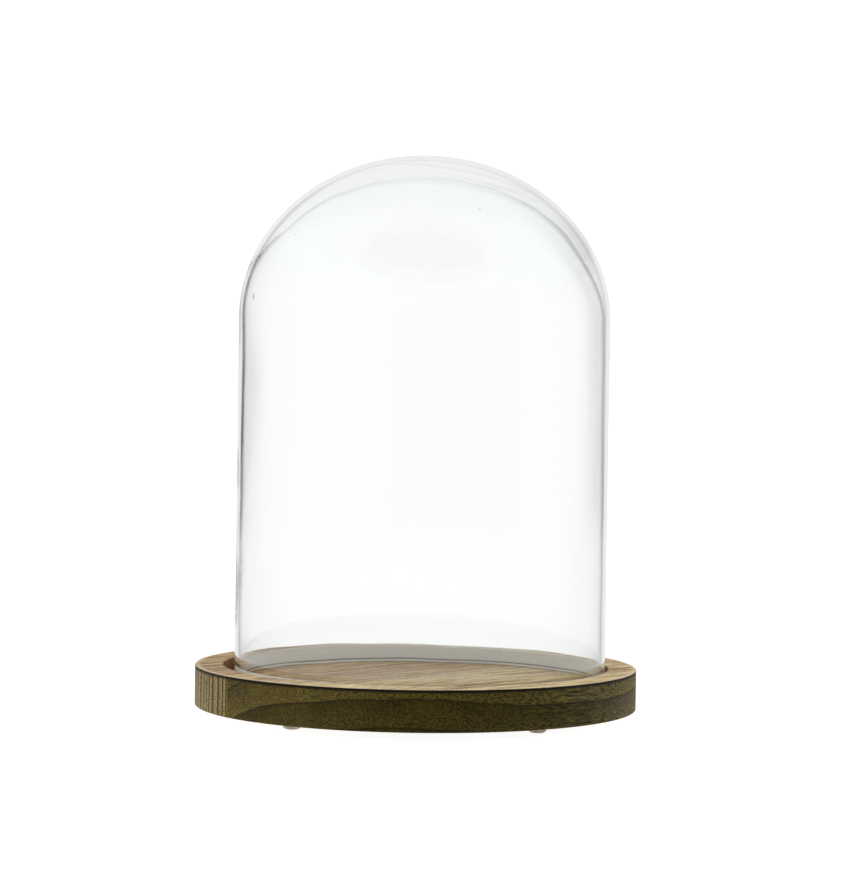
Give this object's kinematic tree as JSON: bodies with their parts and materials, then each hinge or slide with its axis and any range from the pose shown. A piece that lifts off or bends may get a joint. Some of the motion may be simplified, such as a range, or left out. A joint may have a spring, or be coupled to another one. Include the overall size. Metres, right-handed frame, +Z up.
{
  "type": "glass bell jar dome",
  "caption": "Clear glass bell jar dome standing loose in the recess of a round stained wooden base, for covering a small exhibit.",
  "frame": {"origin": "middle of the plane that the feet stand on, under the centre of the wooden disc", "axes": "+Z up along the dome's axis, +X to the right and +Y to the back as the object is seen from the front"},
  "size_m": [0.22, 0.22, 0.2778],
  "materials": {
    "glass": "clear, blown, fire-polished rim",
    "wood_flat_sawn": "light open-grained wood, brown stain, matt",
    "wood_quarter_sawn": "light open-grained wood, brown stain, matt",
    "clear_bumper": "clear soft polyurethane"
  },
  "bodies": {
    "base": {"base_board_front": "wood_flat_sawn", "base_board_back": "wood_quarter_sawn", "foot_front_left": "clear_bumper", "foot_front_right": "clear_bumper", "foot_back_left": "clear_bumper", "foot_back_right": "clear_bumper"},
    "dome": {"glass_dome": "glass"}
  },
  "joints": [
    {"name": "dome_lift", "type": "slide", "parent": "base", "child": "dome", "axis": [0, 0, 1], "range_m": [0, 0.3]}
  ]
}
